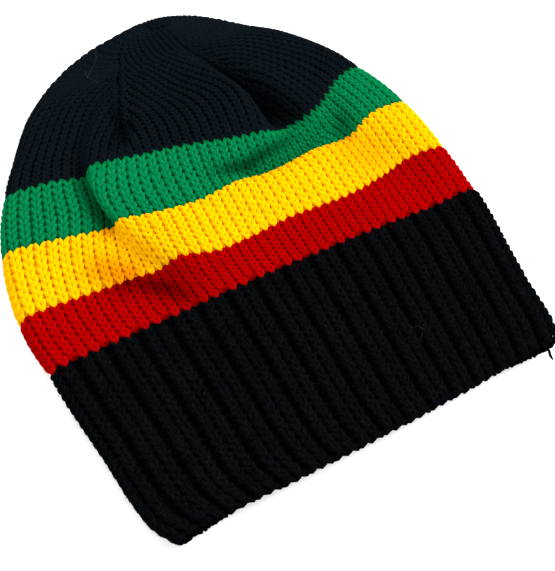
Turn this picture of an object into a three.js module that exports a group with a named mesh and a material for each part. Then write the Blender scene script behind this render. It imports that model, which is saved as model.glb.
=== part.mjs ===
// Slouchy knit tam in black, green, yellow and red, lying flat and empty.
// Millimetres, +Z up. The opening faces -Y and the crown +Y. The origin is on the surface it lies on,
// under the middle of its bounding box.
// One surface, worked out from the sizes and the short tables below, is the middle of the knit wall.
// A place on it is given by the stitch round the hat, 0 at the left edge of the flat hat, and by the
// piece, from 0 at the opening to 5 at the tip.

import * as THREE from 'three';

// Driving dimensions
const STITCHES_ROUND = 96;
const RIBS_ROUND = 32;
const HALF_WIDTH = 120;
const BAND_DEPTH = 88;
const STRIPE_DEPTH = 31;
const CROWN_DEPTH = 94;
const LYING_HEIGHT = 20;
const KNIT_WALL = 3;
const RIB_WALL = 5;
const RIB_RELIEF = 2;
const RIB_FURROW = 0.9;
const PIECE_GAP = 0.35;
const CORNER_LIFT = 4;

// Where each piece begins along the hat, counted in pieces from the opening
const START = { band: 0, red: 1, yellow: 2, green: 3, crown: 4, tip: 5 };

// Sections of the flat hat. left and right are the edges, as shares of HALF_WIDTH. high, rim and low are
// heights of the top layer, the edge and the under layer, as shares of LYING_HEIGHT above the plain
// under layer. round is the share of a quarter that the edge's arc takes.
const SECTIONS = [
  { at: 0.00, left: -0.775, right: 0.798, high: 0.53, rim: 0.27, low: 0.00, round: 0.08 },
  { at: 0.12, left: -0.835, right: 0.832, high: 0.56, rim: 0.28, low: 0.00, round: 0.08 },
  { at: 0.50, left: -0.895, right: 0.890, high: 0.62, rim: 0.30, low: 0.00, round: 0.08 },
  { at: 1.00, left: -0.965, right: 0.960, high: 0.68, rim: 0.30, low: 0.00, round: 0.08 },
  { at: 2.00, left: -1.015, right: 0.990, high: 0.76, rim: 0.30, low: 0.00, round: 0.08 },
  { at: 3.00, left: -0.995, right: 0.985, high: 0.82, rim: 0.30, low: 0.00, round: 0.09 },
  { at: 4.00, left: -0.905, right: 0.910, high: 0.90, rim: 0.31, low: 0.00, round: 0.10 },
  { at: 4.25, left: -0.810, right: 0.840, high: 0.98, rim: 0.33, low: 0.00, round: 0.14 },
  { at: 4.50, left: -0.665, right: 0.680, high: 1.02, rim: 0.36, low: 0.00, round: 0.24 },
  { at: 4.70, left: -0.490, right: 0.510, high: 1.02, rim: 0.40, low: 0.02, round: 0.45 },
  { at: 4.85, left: -0.255, right: 0.355, high: 1.00, rim: 0.52, low: 0.14, round: 0.75 },
  { at: 4.95, left: -0.030, right: 0.215, high: 0.98, rim: 0.82, low: 0.62, round: 1.00 },
  { at: 5.00, left: 0.070, right: 0.130, high: 0.96, rim: 0.94, low: 0.90, round: 1.00 },
];

// How far the rows of stitches have slid along the hat from their even places, at the middle of the top
// layer, at the edges and at the middle of the under layer, as shares of STRIPE_DEPTH.
const SLIDES = [
  { at: 0.00, top: -0.07, edge: -0.02, under: 0.30 },
  { at: 0.12, top: -0.04, edge: -0.01, under: 0.25 },
  { at: 0.50, top: 0.00, edge: 0.00, under: 0.08 },
  { at: 1.00, top: 0.02, edge: 0.00, under: 0.00 },
  { at: 2.00, top: -0.16, edge: 0.06, under: 0.05 },
  { at: 3.00, top: -0.10, edge: 0.30, under: 0.20 },
  { at: 4.00, top: 0.00, edge: 0.44, under: 0.35 },
  { at: 4.25, top: 0.02, edge: 0.48, under: 0.55 },
  { at: 4.50, top: -0.04, edge: 0.66, under: 0.80 },
  { at: 4.70, top: -0.06, edge: 0.78, under: 1.00 },
  { at: 4.85, top: -0.06, edge: 0.76, under: 1.08 },
  { at: 4.95, top: -0.04, edge: 0.42, under: 0.74 },
  { at: 5.00, top: 0.00, edge: 0.12, under: 0.22 },
];

// How the colours' first rows sag over the top layer besides. across is a share of HALF_WIDTH, and the
// other columns are slides along the hat, as shares of STRIPE_DEPTH.
const SAG = [
  { across: -0.95, yellow: -0.02, green: 0.00, crown: 0.00 },
  { across: -0.70, yellow: -0.06, green: -0.16, crown: -0.12 },
  { across: -0.50, yellow: -0.04, green: -0.12, crown: -0.10 },
  { across: -0.34, yellow: -0.02, green: -0.20, crown: -0.03 },
  { across: -0.20, yellow: -0.15, green: -0.16, crown: 0.00 },
  { across: -0.06, yellow: -0.09, green: -0.08, crown: -0.04 },
  { across: 0.08, yellow: -0.05, green: -0.02, crown: -0.18 },
  { across: 0.24, yellow: -0.07, green: -0.05, crown: -0.33 },
  { across: 0.40, yellow: -0.12, green: -0.16, crown: -0.44 },
  { across: 0.52, yellow: -0.10, green: -0.22, crown: -0.50 },
  { across: 0.64, yellow: -0.01, green: -0.12, crown: -0.36 },
  { across: 0.78, yellow: 0.10, green: 0.04, crown: -0.06 },
  { across: 0.95, yellow: 0.01, green: 0.01, crown: 0.04 },
];

// Pleats run up the hat. Each knot gives the place y, in shares of the hat's length, and x, in shares
// of HALF_WIDTH, then how far the knit is doubled there, in shares of STRIPE_DEPTH, and how far its
// right side stands above its left side, in shares of LYING_HEIGHT. half is half the width of the
// turn, near and far are how far its height reaches to its left and its right, in shares of
// HALF_WIDTH. dip is the share of the height that is a hollow on the low side.
const PLEATS = [
  {
    half: 0.080, near: 0.20, far: 0.42, dip: 0.45,
    knots: [
      { y: 0.310, x: -0.27, doubled: 0.00, rise: 0.00 },
      { y: 0.370, x: -0.33, doubled: 0.02, rise: 0.20 },
      { y: 0.430, x: -0.42, doubled: 0.06, rise: 0.34 },
      { y: 0.510, x: -0.50, doubled: 0.14, rise: 0.42 },
      { y: 0.600, x: -0.53, doubled: 0.28, rise: 0.48 },
      { y: 0.690, x: -0.53, doubled: 0.14, rise: 0.50 },
      { y: 0.780, x: -0.45, doubled: 0.06, rise: 0.38 },
      { y: 0.850, x: -0.30, doubled: 0.00, rise: 0.18 },
      { y: 0.900, x: -0.15, doubled: 0.00, rise: 0.00 },
    ],
  },
  {
    half: 0.086, near: 0.30, far: 0.22, dip: 0.72,
    knots: [
      { y: 0.570, x: 0.32, doubled: 0.00, rise: 0.00 },
      { y: 0.612, x: 0.31, doubled: 0.06, rise: -0.08 },
      { y: 0.640, x: 0.30, doubled: 0.14, rise: -0.34 },
      { y: 0.675, x: 0.29, doubled: 0.22, rise: -0.62 },
      { y: 0.745, x: 0.26, doubled: 0.28, rise: -0.72 },
      { y: 0.810, x: 0.22, doubled: 0.16, rise: -0.60 },
      { y: 0.870, x: 0.17, doubled: 0.04, rise: -0.34 },
      { y: 0.920, x: 0.14, doubled: 0.00, rise: 0.00 },
    ],
  },
];

// Ridges and furrows run up the hat too, with no doubling. lift is in shares of LYING_HEIGHT and half,
// the distance over which it falls away, in shares of HALF_WIDTH.
const RIDGES = [
  {
    name: 'ridge beside the crown hollow', half: 0.085,
    knots: [
      { y: 0.58, x: 0.53, lift: 0.00 },
      { y: 0.64, x: 0.50, lift: 0.16 },
      { y: 0.74, x: 0.42, lift: 0.20 },
      { y: 0.82, x: 0.32, lift: 0.10 },
      { y: 0.88, x: 0.24, lift: 0.00 },
    ],
  },
  {
    name: 'furrow up the right of the stripes', half: 0.13,
    knots: [
      { y: 0.24, x: 0.70, lift: 0.00 },
      { y: 0.34, x: 0.70, lift: -0.12 },
      { y: 0.45, x: 0.72, lift: -0.24 },
      { y: 0.56, x: 0.64, lift: -0.24 },
      { y: 0.65, x: 0.62, lift: 0.00 },
    ],
  },
  {
    name: 'puff beside the left pleat', half: 0.15,
    knots: [
      { y: 0.36, x: -0.14, lift: 0.00 },
      { y: 0.42, x: -0.24, lift: 0.12 },
      { y: 0.49, x: -0.34, lift: 0.14 },
      { y: 0.56, x: -0.36, lift: 0.00 },
    ],
  },
  {
    name: 'dart line of the crown', half: 0.035,
    knots: [
      { y: 0.69, x: -0.34, lift: 0.00 },
      { y: 0.725, x: -0.32, lift: -0.22 },
      { y: 0.80, x: -0.25, lift: -0.12 },
      { y: 0.88, x: -0.14, lift: -0.10 },
      { y: 0.92, x: -0.04, lift: 0.00 },
    ],
  },
];

// Creases run across the hat. depth is in shares of LYING_HEIGHT, half in shares of STRIPE_DEPTH, and
// pull is how far the knit on both sides is drawn into the crease, in shares of STRIPE_DEPTH.
const CREASES = [
  {
    name: 'crease across the green stripe', half: 0.30,
    knots: [
      { x: -0.14, y: 0.575, depth: 0.00, pull: 0.00 },
      { x: 0.02, y: 0.560, depth: 0.22, pull: 0.10 },
      { x: 0.16, y: 0.545, depth: 0.40, pull: 0.20 },
      { x: 0.36, y: 0.555, depth: 0.40, pull: 0.20 },
      { x: 0.52, y: 0.585, depth: 0.28, pull: 0.12 },
      { x: 0.68, y: 0.620, depth: 0.00, pull: 0.00 },
    ],
  },
];

// Shares that shape the surface
const TOP_SWELL = 0.28;
const EDGE_REACH = 0.16;
const ROW_ROUNDING = { from: 0.1, over: 0.6 };
const PLEAT_DRAW = 0.55;
const CREASE_DRAW = 1.6;
const SAG_FADE = 0.5;
const RIB_FADE = 0.3;
const CORNER = { from: 0.45, over: 0.45, along: 0.4 };
const TIP_HOLE = 0.02;

const HAT_LENGTH = BAND_DEPTH + 3 * STRIPE_DEPTH + CROWN_DEPTH;
const QUARTER = STITCHES_ROUND / 4;
const HALF_TURN = STITCHES_ROUND / 2;

const clamp = (value, low, high) => Math.min(high, Math.max(low, value));

function smoothStep(value) {
  const t = clamp(value, 0, 1);
  return t * t * (3 - 2 * t);
}

// Smooth run through a table's rows: the named column at a place along the key column.
function readTable(rows, key, column, place) {
  const last = rows.length - 1;
  if (place <= rows[0][key]) return rows[0][column];
  if (place >= rows[last][key]) return rows[last][column];
  const i = rows.findIndex((row) => row[key] > place) - 1;
  const slope = (j) => {
    const before = rows[Math.max(0, j - 1)];
    const after = rows[Math.min(last, j + 1)];
    return (after[column] - before[column]) / (after[key] - before[key]);
  };
  const step = rows[i + 1][key] - rows[i][key];
  const t = (place - rows[i][key]) / step;
  return (
    rows[i][column] * (1 + 2 * t) * (1 - t) ** 2 +
    rows[i + 1][column] * t ** 2 * (3 - 2 * t) +
    step * slope(i) * t * (1 - t) ** 2 -
    step * slope(i + 1) * t ** 2 * (1 - t)
  );
}

// Even distance from the opening to a place along the hat.
function evenDistance(at) {
  const band = BAND_DEPTH * clamp(at, START.band, START.red);
  const stripes = STRIPE_DEPTH * (clamp(at, START.red, START.crown) - START.red);
  const crown = CROWN_DEPTH * (clamp(at, START.crown, START.tip) - START.crown);
  return band + stripes + crown;
}

// Half thickness of the wall: thicker in the ribs, and thinning to plain knit in the first rows of red.
function halfWall(at) {
  const ribbed = 1 - smoothStep((at - START.red) / RIB_FADE);
  return KNIT_WALL / 2 + (RIB_WALL - KNIT_WALL) / 2 * ribbed;
}

// A quarter of a section, from the edge to the middle: how far across it is, and how far up its arc.
function quarterOfSection(part, round) {
  const arc = round / (round + Math.PI / 2 * (1 - round));
  if (part < round) {
    const turn = Math.PI / 2 * part / round;
    return { across: arc * (1 - Math.cos(turn)), up: Math.sin(turn) };
  }
  return { across: arc + (1 - arc) * (part - round) / (1 - round), up: 1 };
}

// Sag of the top layer at a share of the half width. It grows and fades between the colours' first rows.
function sagAt(across, at) {
  const sagOf = (colour) => readTable(SAG, 'across', colour, across);
  if (at <= START.red) return 0;
  if (at < START.yellow) return sagOf('yellow') * smoothStep(at - START.red);
  if (at >= START.crown) return sagOf('crown') * (1 - smoothStep((at - START.crown) / SAG_FADE));
  const [from, to] = at < START.green ? ['yellow', 'green'] : ['green', 'crown'];
  return sagOf(from) + (sagOf(to) - sagOf(from)) * smoothStep(at - Math.floor(at));
}

// How a pleat moves a point of the top layer that lies at x, y.
function pleatShift(pleat, x, y) {
  const place = y / HAT_LENGTH;
  const beside = x - readTable(pleat.knots, 'y', 'x', place) * HALF_WIDTH;
  const doubled = readTable(pleat.knots, 'y', 'doubled', place) * STRIPE_DEPTH;
  const rise = readTable(pleat.knots, 'y', 'rise', place) * LYING_HEIGHT;
  const half = pleat.half * HALF_WIDTH;
  const turned = smoothStep((beside + half) / (2 * half));
  const drawn = 1 - smoothStep(Math.abs(beside) / (PLEAT_DRAW * HALF_WIDTH));
  const fadeLeft = 1 - smoothStep(-beside / (pleat.near * HALF_WIDTH));
  const fadeRight = 1 - smoothStep(beside / (pleat.far * HALF_WIDTH));
  const highSide = rise > 0 ? turned * fadeRight : (1 - turned) * fadeLeft;
  const lowSide = rise > 0 ? (1 - turned) * fadeLeft : turned * fadeRight;
  return {
    x: doubled * (1 - 2 * turned) * drawn,
    z: Math.abs(rise) * ((1 - pleat.dip) * highSide - pleat.dip * lowSide),
  };
}

function ridgeLift(ridge, x, y) {
  const place = y / HAT_LENGTH;
  const beside = x - readTable(ridge.knots, 'y', 'x', place) * HALF_WIDTH;
  const lift = readTable(ridge.knots, 'y', 'lift', place) * LYING_HEIGHT;
  return lift * Math.exp(-((beside / (ridge.half * HALF_WIDTH)) ** 2));
}

function creaseShift(crease, x, y) {
  const place = x / HALF_WIDTH;
  const beside = y - readTable(crease.knots, 'x', 'y', place) * HAT_LENGTH;
  const depth = readTable(crease.knots, 'x', 'depth', place) * LYING_HEIGHT;
  const pull = readTable(crease.knots, 'x', 'pull', place) * STRIPE_DEPTH;
  const near = beside / (crease.half * STRIPE_DEPTH);
  const fall = Math.exp(-(near ** 2));
  const drawn = 1 - smoothStep(Math.abs(beside) / (CREASE_DRAW * STRIPE_DEPTH));
  return { y: -pull * Math.tanh(near) * drawn, z: -depth * fall };
}

// The middle of the knit wall at a stitch round the hat and a place along it.
function hatSurface(stitch, at) {
  const turn = ((stitch % STITCHES_ROUND) + STITCHES_ROUND) % STITCHES_ROUND;
  const onTop = turn <= HALF_TURN;
  const fromLeft = onTop ? turn : STITCHES_ROUND - turn;
  const leftHalf = fromLeft <= QUARTER;
  const part = (leftHalf ? fromLeft : HALF_TURN - fromLeft) / QUARTER;
  const section = (column) => readTable(SECTIONS, 'at', column, at);
  const slide = (column) => readTable(SLIDES, 'at', column, at) * STRIPE_DEPTH;

  const round = section('round');
  const { across, up } = quarterOfSection(part, round);
  const left = section('left') * HALF_WIDTH;
  const right = section('right') * HALF_WIDTH;
  const edge = leftHalf ? left : right;
  let x = edge + ((left + right) / 2 - edge) * across;

  const rounded = smoothStep((round - ROW_ROUNDING.from) / ROW_ROUNDING.over);
  const bow = smoothStep(across) * (1 - rounded) + up * rounded;
  let y = evenDistance(at) + slide('edge') * (1 - bow) + slide(onTop ? 'top' : 'under') * bow;

  const rim = section('rim') * LYING_HEIGHT;
  const middle = section(onTop ? 'high' : 'low') * LYING_HEIGHT;
  const swell = onTop ? (1 - TOP_SWELL) * up + TOP_SWELL * Math.sin(Math.PI / 2 * across) : up;
  let z = halfWall(at) + rim + (middle - rim) * swell;

  if (onTop) {
    y += sagAt(x / HALF_WIDTH, at) * STRIPE_DEPTH;
    const inside = smoothStep(across / EDGE_REACH);
    for (const pleat of PLEATS) {
      const shift = pleatShift(pleat, x, y);
      x += shift.x * inside;
      z += shift.z * inside;
    }
    for (const ridge of RIDGES) z += ridgeLift(ridge, x, y) * inside;
    for (const crease of CREASES) {
      const shift = creaseShift(crease, x, y);
      y += shift.y * inside;
      z += shift.z * inside;
    }
  }
  const towardCorner = smoothStep((x / HALF_WIDTH - CORNER.from) / CORNER.over);
  z += CORNER_LIFT * towardCorner * (1 - smoothStep(at / CORNER.along));
  return new THREE.Vector3(x, y, z);
}

// A point of the wall, offset outward from its middle. The ends of two pieces that meet are laid out from
// the same line of stitches, each held back from it by half the gap.
function wallPoint(stitch, place, offset) {
  const nearEnd = 0.02;
  const roundStep = 0.15;
  const alongStep = 0.012;
  const meeting = Math.round(place);
  const atEnd = meeting > START.band && meeting < START.tip && Math.abs(place - meeting) < nearEnd;
  const at = atEnd ? meeting : place;
  const low = clamp(at - alongStep, START.band, START.tip - TIP_HOLE - alongStep);
  const high = clamp(at + alongStep, START.band + alongStep, START.tip - TIP_HOLE);
  const round = hatSurface(stitch + roundStep, at).sub(hatSurface(stitch - roundStep, at)).normalize();
  const along = hatSurface(stitch, high).sub(hatSurface(stitch, low));
  const outward = round.clone().cross(along).normalize();
  const point = hatSurface(stitch, at).addScaledVector(outward, offset);
  if (!atEnd) return point;
  const held = Math.sign(place - meeting) * PIECE_GAP / 2;
  return point.addScaledVector(outward.clone().cross(round), held);
}

// Height of the ribs over their valleys: two knit columns stand out with a furrow between them, one lies back.
function ribRelief(stitch) {
  const phase = (stitch / (STITCHES_ROUND / RIBS_ROUND)) % 1;
  const ridge = 1 - Math.abs(Math.cos(Math.PI * phase)) ** 6;
  const furrow = Math.abs(Math.sin(Math.PI * phase)) ** 12;
  return RIB_RELIEF * ridge - RIB_FURROW * furrow;
}

// Stitches at which a ring's corners stand: closer at the pleats, wider on the flat underside.
function cornersRound(step) {
  const places = [];
  let stitch = 0;
  while (stitch < STITCHES_ROUND - step / 8) {
    places.push(stitch);
    const pleated = (stitch >= 7 && stitch < 18) || (stitch >= 27 && stitch < 35);
    const under = stitch >= HALF_TURN + 3 && stitch < STITCHES_ROUND - 3;
    stitch += pleated ? step / 2 : under ? step * 2 : step;
  }
  return places;
}

// Closed piece of knit wall between two places, with an outer and an inner skin. A ring has two ends. A
// cap has one, and its last row is drawn together at the tip.
function wallGeometry({ stitches, places, outer, inner, capped }) {
  const positions = [];
  const index = [];
  const count = stitches.length;
  const last = places.length - 1;
  for (const offset of [outer, (stitch, at) => -inner(stitch, at)]) {
    for (const at of places) {
      for (const stitch of stitches) positions.push(...wallPoint(stitch, at, offset(stitch, at)).toArray());
    }
  }
  const corner = (skin, row, i) => (skin * places.length + row) * count + (i % count);
  const quad = (a, b, c, d) => index.push(a, c, b, a, d, c);
  for (let i = 0; i < count; i++) {
    for (let row = 0; row < last; row++) {
      quad(corner(0, row, i), corner(0, row + 1, i), corner(0, row + 1, i + 1), corner(0, row, i + 1));
      quad(corner(1, row, i), corner(1, row, i + 1), corner(1, row + 1, i + 1), corner(1, row + 1, i));
    }
    quad(corner(1, 0, i), corner(0, 0, i), corner(0, 0, i + 1), corner(1, 0, i + 1));
    if (capped) continue;
    quad(corner(1, last, i), corner(1, last, i + 1), corner(0, last, i + 1), corner(0, last, i));
  }
  for (const skin of capped ? [0, 1] : []) {
    const tip = new THREE.Vector3();
    for (let i = 0; i < count; i++) {
      tip.add(new THREE.Vector3().fromArray(positions, 3 * corner(skin, last, i)));
    }
    positions.push(...tip.divideScalar(count).toArray());
    const top = positions.length / 3 - 1;
    for (let i = 0; i < count; i++) {
      const [a, b] = [corner(skin, last, i), corner(skin, last, i + 1)];
      index.push(...(skin === 0 ? [a, b, top] : [b, a, top]));
    }
  }
  const geometry = new THREE.BufferGeometry();
  geometry.setAttribute('position', new THREE.Float32BufferAttribute(positions, 3));
  geometry.setIndex(index);
  geometry.computeVertexNormals();
  return geometry;
}

// Places along a piece at the given shares of it, held off its neighbours by half the gap.
function placesAlong(from, to, depth, shares) {
  const start = from === START.band ? from : from + PIECE_GAP / 2 / depth;
  const end = to === START.tip ? to - TIP_HOLE : to - PIECE_GAP / 2 / depth;
  return shares.map((share) => start + (end - start) * share);
}

const evenShares = (steps) => Array.from({ length: steps + 1 }, (_, i) => i / steps);

const yarn = {
  black: new THREE.MeshStandardMaterial({ color: 0x0a0d14, roughness: 0.95, metalness: 0 }),
  red: new THREE.MeshStandardMaterial({ color: 0xb80408, roughness: 0.95, metalness: 0 }),
  yellow: new THREE.MeshStandardMaterial({ color: 0xf5c400, roughness: 0.95, metalness: 0 }),
  green: new THREE.MeshStandardMaterial({ color: 0x04854a, roughness: 0.95, metalness: 0 }),
};

const CORNER_STEP = 1.2;
const plainWall = (stitch, at) => halfWall(at);

function ribBand() {
  const ribWidth = STITCHES_ROUND / RIBS_ROUND;
  const corners = 4 * RIBS_ROUND;
  const stitches = Array.from({ length: corners }, (_, i) => i * STITCHES_ROUND / corners);
  const places = placesAlong(START.band, START.red, BAND_DEPTH, [0, 0.1, 0.3, 0.55, 0.8, 1]);
  const outer = (stitch, at) => halfWall(at) - RIB_RELIEF + ribRelief(stitch);
  const inner = (stitch, at) => halfWall(at) - RIB_RELIEF + ribRelief(stitch + ribWidth / 2);
  return new THREE.Mesh(wallGeometry({ stitches, places, outer, inner, capped: false }), yarn.black);
}

function stripe(from, material) {
  const stitches = cornersRound(CORNER_STEP);
  const places = placesAlong(from, from + 1, STRIPE_DEPTH, evenShares(3));
  const wall = { stitches, places, outer: plainWall, inner: plainWall, capped: false };
  return new THREE.Mesh(wallGeometry(wall), material);
}

function crown() {
  const stitches = cornersRound(CORNER_STEP);
  const places = placesAlong(START.crown, START.tip, CROWN_DEPTH, evenShares(13));
  const wall = { stitches, places, outer: plainWall, inner: plainWall, capped: true };
  return new THREE.Mesh(wallGeometry(wall), yarn.black);
}

const pieces = {
  rib_band: ribBand(),
  red_stripe: stripe(START.red, yarn.red),
  yellow_stripe: stripe(START.yellow, yarn.yellow),
  green_stripe: stripe(START.green, yarn.green),
  crown: crown(),
};

const tam = new THREE.Group();
for (const [name, mesh] of Object.entries(pieces)) {
  mesh.name = name;
  tam.add(mesh);
}

// The origin goes under the middle of the hat's box, on the surface that it lies on
const box = new THREE.Box3().setFromObject(tam);
const centre = box.getCenter(new THREE.Vector3());
tam.position.set(-centre.x, -centre.y, -box.min.z);
tam.updateMatrixWorld(true);

export default tam;
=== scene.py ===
"""Slouchy knit tam in black, green, yellow and red, lying flat. Every row of yarn is laid as loops on the
surface that the part's solids have, from the same sizes and tables. Lengths are millimetres until a
mesh is made, and metres from there on."""

import bpy
import numpy as np
from mathutils import Matrix, Vector


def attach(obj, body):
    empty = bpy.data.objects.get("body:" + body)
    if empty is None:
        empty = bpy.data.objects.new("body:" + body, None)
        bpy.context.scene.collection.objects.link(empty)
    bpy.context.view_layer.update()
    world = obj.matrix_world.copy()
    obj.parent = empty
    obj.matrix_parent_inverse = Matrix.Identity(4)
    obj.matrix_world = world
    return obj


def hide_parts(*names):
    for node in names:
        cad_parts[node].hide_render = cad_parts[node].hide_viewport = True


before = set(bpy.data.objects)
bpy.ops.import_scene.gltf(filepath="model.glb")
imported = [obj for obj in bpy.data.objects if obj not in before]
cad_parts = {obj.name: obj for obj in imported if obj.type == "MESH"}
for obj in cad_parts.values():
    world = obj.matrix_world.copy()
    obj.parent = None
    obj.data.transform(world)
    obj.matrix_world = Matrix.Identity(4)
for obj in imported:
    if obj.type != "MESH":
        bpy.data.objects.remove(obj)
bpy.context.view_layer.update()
random = np.random.default_rng(96)

# The hat's sizes, as in the part
STITCHES_ROUND, RIBS_ROUND = 96, 32
HALF_WIDTH, BAND_DEPTH, STRIPE_DEPTH, CROWN_DEPTH = 120.0, 88.0, 31.0, 94.0
LYING_HEIGHT, KNIT_WALL, RIB_WALL, CORNER_LIFT = 20.0, 3.0, 5.0, 4.0
TOP_SWELL, EDGE_REACH, PLEAT_DRAW, CREASE_DRAW, SAG_FADE, RIB_FADE = 0.28, 0.16, 0.55, 1.6, 0.5, 0.3
ROUND_FROM, ROUND_OVER = 0.1, 0.6
CORNER_FROM, CORNER_OVER, CORNER_FADE = 0.45, 0.45, 0.4
TIP_HOLE = 0.02
LAST_PLACE = 5 - TIP_HOLE
HAT_LENGTH = BAND_DEPTH + 3 * STRIPE_DEPTH + CROWN_DEPTH
# From the brim line's middle to the part's origin
TO_ORIGIN = np.array([1.789, -147.375, 0.028])


def rows(names, *lines):
    """A table from its rows, as one array for each named column."""
    return {name: np.array(column) for name, column in zip(names.split(), zip(*lines))}


SECTIONS = rows("at left right high rim low round",
    (0.00, -0.775, 0.798, 0.53, 0.27, 0.00, 0.08), (0.12, -0.835, 0.832, 0.56, 0.28, 0.00, 0.08),
    (0.50, -0.895, 0.890, 0.62, 0.30, 0.00, 0.08), (1.00, -0.965, 0.960, 0.68, 0.30, 0.00, 0.08),
    (2.00, -1.015, 0.990, 0.76, 0.30, 0.00, 0.08), (3.00, -0.995, 0.985, 0.82, 0.30, 0.00, 0.09),
    (4.00, -0.905, 0.910, 0.90, 0.31, 0.00, 0.10), (4.25, -0.810, 0.840, 0.98, 0.33, 0.00, 0.14),
    (4.50, -0.665, 0.680, 1.02, 0.36, 0.00, 0.24), (4.70, -0.490, 0.510, 1.02, 0.40, 0.02, 0.45),
    (4.85, -0.255, 0.355, 1.00, 0.52, 0.14, 0.75), (4.95, -0.030, 0.215, 0.98, 0.82, 0.62, 1.00),
    (5.00, 0.070, 0.130, 0.96, 0.94, 0.90, 1.00))
SLIDES = rows("at top edge under",
    (0.00, -0.07, -0.02, 0.30), (0.12, -0.04, -0.01, 0.25), (0.50, 0.00, 0.00, 0.08),
    (1.00, 0.02, 0.00, 0.00), (2.00, -0.16, 0.06, 0.05), (3.00, -0.10, 0.30, 0.20), (4.00, 0.00, 0.44, 0.35),
    (4.25, 0.02, 0.48, 0.55), (4.50, -0.04, 0.66, 0.80), (4.70, -0.06, 0.78, 1.00), (4.85, -0.06, 0.76, 1.08),
    (4.95, -0.04, 0.42, 0.74), (5.00, 0.00, 0.12, 0.22))
SAG = rows("across yellow green crown",
    (-0.95, -0.02, 0.00, 0.00), (-0.70, -0.06, -0.16, -0.12), (-0.50, -0.04, -0.12, -0.10),
    (-0.34, -0.02, -0.20, -0.03), (-0.20, -0.15, -0.16, 0.00), (-0.06, -0.09, -0.08, -0.04),
    (0.08, -0.05, -0.02, -0.18), (0.24, -0.07, -0.05, -0.33), (0.40, -0.12, -0.16, -0.44),
    (0.52, -0.10, -0.22, -0.50), (0.64, -0.01, -0.12, -0.36), (0.78, 0.10, 0.04, -0.06),
    (0.95, 0.01, 0.01, 0.04))
PLEATS = [
    dict(half=0.080, near=0.20, far=0.42, dip=0.45, knots=rows("y x doubled rise",
        (0.310, -0.27, 0.00, 0.00), (0.370, -0.33, 0.02, 0.20), (0.430, -0.42, 0.06, 0.34),
        (0.510, -0.50, 0.14, 0.42), (0.600, -0.53, 0.28, 0.48), (0.690, -0.53, 0.14, 0.50),
        (0.780, -0.45, 0.06, 0.38), (0.850, -0.30, 0.00, 0.18), (0.900, -0.15, 0.00, 0.00))),
    dict(half=0.086, near=0.30, far=0.22, dip=0.72, knots=rows("y x doubled rise",
        (0.570, 0.32, 0.00, 0.00), (0.612, 0.31, 0.06, -0.08), (0.640, 0.30, 0.14, -0.34),
        (0.675, 0.29, 0.22, -0.62), (0.745, 0.26, 0.28, -0.72), (0.810, 0.22, 0.16, -0.60),
        (0.870, 0.17, 0.04, -0.34), (0.920, 0.14, 0.00, 0.00))),
]
RIDGES = [
    dict(half=0.085, knots=rows("y x lift", (0.58, 0.53, 0.00), (0.64, 0.50, 0.16), (0.74, 0.42, 0.20),
        (0.82, 0.32, 0.10), (0.88, 0.24, 0.00))),
    dict(half=0.13, knots=rows("y x lift", (0.24, 0.70, 0.00), (0.34, 0.70, -0.12), (0.45, 0.72, -0.24),
        (0.56, 0.64, -0.24), (0.65, 0.62, 0.00))),
    dict(half=0.15, knots=rows("y x lift", (0.36, -0.14, 0.00), (0.42, -0.24, 0.12), (0.49, -0.34, 0.14),
        (0.56, -0.36, 0.00))),
    dict(half=0.035, knots=rows("y x lift", (0.69, -0.34, 0.00), (0.725, -0.32, -0.22), (0.80, -0.25, -0.12),
        (0.88, -0.14, -0.10), (0.92, -0.04, 0.00))),
]
CREASES = [
    dict(half=0.30, knots=rows("x y depth pull", (-0.14, 0.575, 0.00, 0.00), (0.02, 0.560, 0.22, 0.10),
        (0.16, 0.545, 0.40, 0.20), (0.36, 0.555, 0.40, 0.20), (0.52, 0.585, 0.28, 0.12),
        (0.68, 0.620, 0.00, 0.00))),
]


def smooth_step(value):
    """0 up to 0, 1 from 1 on, and smooth between."""
    t = np.clip(value, 0, 1)
    return t * t * (3 - 2 * t)


def read(table, key, column, place):
    """Smooth run through a table's rows: the named column at a place along the key column."""
    at, value = table[key], table[column]
    slope = np.concatenate([
        [(value[1] - value[0]) / (at[1] - at[0])],
        (value[2:] - value[:-2]) / (at[2:] - at[:-2]),
        [(value[-1] - value[-2]) / (at[-1] - at[-2])],
    ])
    place = np.clip(place, at[0], at[-1])
    i = np.clip(np.searchsorted(at, place, side="right") - 1, 0, len(at) - 2)
    step = at[i + 1] - at[i]
    t = (place - at[i]) / step
    return (value[i] * (1 + 2 * t) * (1 - t) ** 2 + value[i + 1] * t ** 2 * (3 - 2 * t)
            + step * slope[i] * t * (1 - t) ** 2 - step * slope[i + 1] * t ** 2 * (1 - t))


def run_along(at):
    """Millimetres along the hat from the brim, before any row slides."""
    return (BAND_DEPTH * np.clip(at, 0, 1) + STRIPE_DEPTH * (np.clip(at, 1, 4) - 1)
            + CROWN_DEPTH * (np.clip(at, 4, 5) - 4))


def sag_at(across, at):
    """How far the colours' first rows have slid over the top layer, in stripes."""
    yellow, green, crown = (read(SAG, "across", colour, across) for colour in ("yellow", "green", "crown"))
    grow = smooth_step(at - np.floor(at))
    return np.select(
        [at <= 1, at < 2, at < 3, at < 4],
        [0 * across, yellow * grow, yellow + (green - yellow) * grow, green + (crown - green) * grow],
        crown * (1 - smooth_step((at - 4) / SAG_FADE)))


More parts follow.
